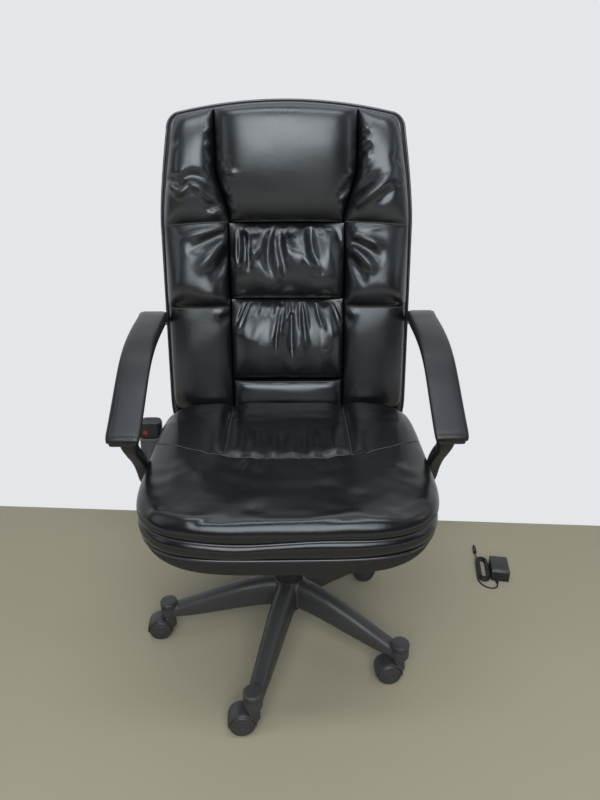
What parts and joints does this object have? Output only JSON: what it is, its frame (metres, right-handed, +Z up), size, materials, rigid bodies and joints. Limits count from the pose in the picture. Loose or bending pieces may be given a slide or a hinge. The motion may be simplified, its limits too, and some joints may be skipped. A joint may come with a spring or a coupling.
{
  "type": "massage chair",
  "caption": "High-back massage office chair: padded seat and gathered back, loop arms, tilt, gas lift, caster base, side-pocket handset and a floor power adapter.",
  "frame": {"origin": "on the gas column's axis at floor level", "axes": "+Z up; the chair faces -Y; +X is the viewer's right when facing the chair"},
  "size_m": [0.9067, 0.6665, 1.1219],
  "materials": {
    "nylon_base": "satin, fine grain",
    "caster_plastic": "satin",
    "caster_tyre": "matte",
    "bright_steel": "bright",
    "black_steel": "satin black paint",
    "cover_plastic": "satin",
    "spring_steel": "oiled",
    "plywood": "bare",
    "black_leather": "glossy bonded leather",
    "border_fabric": "matte",
    "arm_plastic": "satin",
    "motor_steel": "plain",
    "rotor_brass": "plain",
    "control_plastic": "matte",
    "pouch_fabric": "ribbed weave",
    "handset_plastic": "satin",
    "red_plastic": "gloss",
    "grey_plastic": "satin",
    "adapter_plastic": "satin",
    "prong_brass": "nickelled",
    "lead_rubber": "matte"
  },
  "bodies": {
    "base": {"star_base": "nylon_base", "column_tube": "black_steel", "cover_lower": "cover_plastic", "adapter_case": "adapter_plastic", "adapter_prongs": "prong_brass", "adapter_lead": "lead_rubber", "adapter_lead_hank": "lead_rubber", "barrel_plug": "lead_rubber"},
    "caster_1_swivel": {"caster_1_hood": "caster_plastic", "caster_1_stem": "bright_steel"},
    "caster_1_roll": {"caster_1_wheels": "caster_tyre"},
    "caster_2_swivel": {"caster_2_hood": "caster_plastic", "caster_2_stem": "bright_steel"},
    "caster_2_roll": {"caster_2_wheels": "caster_tyre"},
    "caster_3_swivel": {"caster_3_hood": "caster_plastic", "caster_3_stem": "bright_steel"},
    "caster_3_roll": {"caster_3_wheels": "caster_tyre"},
    "caster_4_swivel": {"caster_4_hood": "caster_plastic", "caster_4_stem": "bright_steel"},
    "caster_4_roll": {"caster_4_wheels": "caster_tyre"},
    "caster_5_swivel": {"caster_5_hood": "caster_plastic", "caster_5_stem": "bright_steel"},
    "caster_5_roll": {"caster_5_wheels": "caster_tyre"},
    "lift": {"gas_piston": "bright_steel"},
    "cover_mid": {"cover_mid": "cover_plastic"},
    "swivel": {"mech_housing": "black_steel", "tilt_spring": "spring_steel", "cover_upper": "cover_plastic"},
    "tension_knob": {"tension_knob": "caster_plastic"},
    "height_lever": {"height_lever": "caster_plastic"},
    "tilt": {"mech_top_plate": "black_steel", "seat_board": "plywood", "seat_border": "border_fabric", "seat_lower_roll": "black_leather", "seat_cushion": "black_leather", "back_board": "plywood", "back_shell": "black_leather", "head_pillow": "black_leather", "lumbar_pad_upper": "black_leather", "lumbar_pad_lower": "black_leather", "lumbar_strip": "black_leather", "bolster_left": "black_leather", "bolster_right": "black_leather", "arm_left": "arm_plastic", "arm_right": "arm_plastic", "arm_pad_left": "black_leather", "arm_pad_right": "black_leather", "arm_bolts": "black_steel", "motor_cans": "motor_steel", "control_box": "control_plastic", "handset_pouch": "pouch_fabric"},
    "rotor_back_lower": {"rotor_back_lower": "rotor_brass"},
    "rotor_back_upper": {"rotor_back_upper": "rotor_brass"},
    "rotor_seat_left": {"rotor_seat_left": "rotor_brass"},
    "rotor_seat_right": {"rotor_seat_right": "rotor_brass"},
    "handset": {"handset_case": "handset_plastic"},
    "button_power": {"button_power": "red_plastic"},
    "button_upper": {"button_upper": "grey_plastic"},
    "button_lower": {"button_lower": "grey_plastic"},
    "button_seat": {"button_seat": "grey_plastic"}
  },
  "joints": [
    {"name": "caster_1_turn", "type": "hinge", "parent": "base", "child": "caster_1_swivel", "pos_m": [-0.06994, -0.26285, 0.06], "axis": [0, 0, 1], "continuous": true},
    {"name": "caster_1_spin", "type": "hinge", "parent": "caster_1_swivel", "child": "caster_1_roll", "pos_m": [-0.09189, -0.26439, 0.025], "axis": [0.0698, -0.9976, 0], "continuous": true},
    {"name": "caster_2_turn", "type": "hinge", "parent": "base", "child": "caster_2_swivel", "pos_m": [0.22838, -0.14774, 0.06], "axis": [0, 0, 1], "continuous": true},
    {"name": "caster_2_spin", "type": "hinge", "parent": "caster_2_swivel", "child": "caster_2_roll", "pos_m": [0.20643, -0.14928, 0.025], "axis": [0.0698, -0.9976, 0], "continuous": true},
    {"name": "caster_3_turn", "type": "hinge", "parent": "base", "child": "caster_3_swivel", "pos_m": [0.21108, 0.17154, 0.06], "axis": [0, 0, 1], "continuous": true},
    {"name": "caster_3_spin", "type": "hinge", "parent": "caster_3_swivel", "child": "caster_3_roll", "pos_m": [0.18914, 0.17001, 0.025], "axis": [0.0698, -0.9976, 0], "continuous": true},
    {"name": "caster_4_turn", "type": "hinge", "parent": "base", "child": "caster_4_swivel", "pos_m": [-0.09792, 0.25376, 0.06], "axis": [0, 0, 1], "continuous": true},
    {"name": "caster_4_spin", "type": "hinge", "parent": "caster_4_swivel", "child": "caster_4_roll", "pos_m": [-0.11987, 0.25223, 0.025], "axis": [0.0698, -0.9976, 0], "continuous": true},
    {"name": "caster_5_turn", "type": "hinge", "parent": "base", "child": "caster_5_swivel", "pos_m": [-0.2716, -0.01471, 0.06], "axis": [0, 0, 1], "continuous": true},
    {"name": "caster_5_spin", "type": "hinge", "parent": "caster_5_swivel", "child": "caster_5_roll", "pos_m": [-0.29355, -0.01624, 0.025], "axis": [0.0698, -0.9976, 0], "continuous": true},
    {"name": "lift_slide", "type": "slide", "parent": "base", "child": "lift", "axis": [0, 0, 1], "range_m": [0, 0.1]},
    {"name": "cover_slide", "type": "slide", "parent": "base", "child": "cover_mid", "axis": [0, 0, 1], "range_m": [0, 0.05]},
    {"name": "seat_swivel", "type": "hinge", "parent": "lift", "child": "swivel", "pos_m": [0, 0, 0.31], "axis": [0, 0, 1], "continuous": true},
    {"name": "tilt_hinge", "type": "hinge", "parent": "swivel", "child": "tilt", "pos_m": [0, -0.03, 0.322], "axis": [-1, 0, 0], "range_deg": [0, 12], "stiffness_Nm_per_rad": 110, "springref_deg": -12.61},
    {"name": "tension_turn", "type": "hinge", "parent": "swivel", "child": "tension_knob", "pos_m": [0, -0.072, 0.25], "axis": [0, 0, 1], "continuous": true},
    {"name": "lever_lift", "type": "hinge", "parent": "swivel", "child": "height_lever", "pos_m": [-0.037, 0.022, 0.308], "axis": [0, 1, 0], "range_deg": [0, 5]},
    {"name": "rotor_back_lower_spin", "type": "hinge", "parent": "tilt", "child": "rotor_back_lower", "pos_m": [0, 0.28838, 0.61513], "axis": [0, -0.9895, 0.1444], "continuous": true},
    {"name": "rotor_back_upper_spin", "type": "hinge", "parent": "tilt", "child": "rotor_back_upper", "pos_m": [0, 0.31581, 0.80314], "axis": [0, -0.9895, 0.1444], "continuous": true},
    {"name": "rotor_seat_left_spin", "type": "hinge", "parent": "tilt", "child": "rotor_seat_left", "pos_m": [-0.11, -0.06, 0.375], "axis": [0, 0, 1], "continuous": true},
    {"name": "rotor_seat_right_spin", "type": "hinge", "parent": "tilt", "child": "rotor_seat_right", "pos_m": [0.11, -0.06, 0.375], "axis": [0, 0, 1], "continuous": true},
    {"name": "handset_slide", "type": "slide", "parent": "tilt", "child": "handset", "axis": [0, 0, 1], "range_m": [0, 0.12]},
    {"name": "button_power_press", "type": "slide", "parent": "handset", "child": "button_power", "axis": [0, 1, 0], "range_m": [0, 0.001], "stiffness_N_per_m": 300, "springref_m": -0.0005},
    {"name": "button_upper_press", "type": "slide", "parent": "handset", "child": "button_upper", "axis": [0, 1, 0], "range_m": [0, 0.001], "stiffness_N_per_m": 300, "springref_m": -0.0005},
    {"name": "button_lower_press", "type": "slide", "parent": "handset", "child": "button_lower", "axis": [0, 1, 0], "range_m": [0, 0.001], "stiffness_N_per_m": 300, "springref_m": -0.0005},
    {"name": "button_seat_press", "type": "slide", "parent": "handset", "child": "button_seat", "axis": [0, 1, 0], "range_m": [0, 0.001], "stiffness_N_per_m": 300, "springref_m": -0.0005}
  ],
  "couplings": [
    {"joint": "cover_slide", "follows": "lift_slide", "ratio": 0.5}
  ]
}
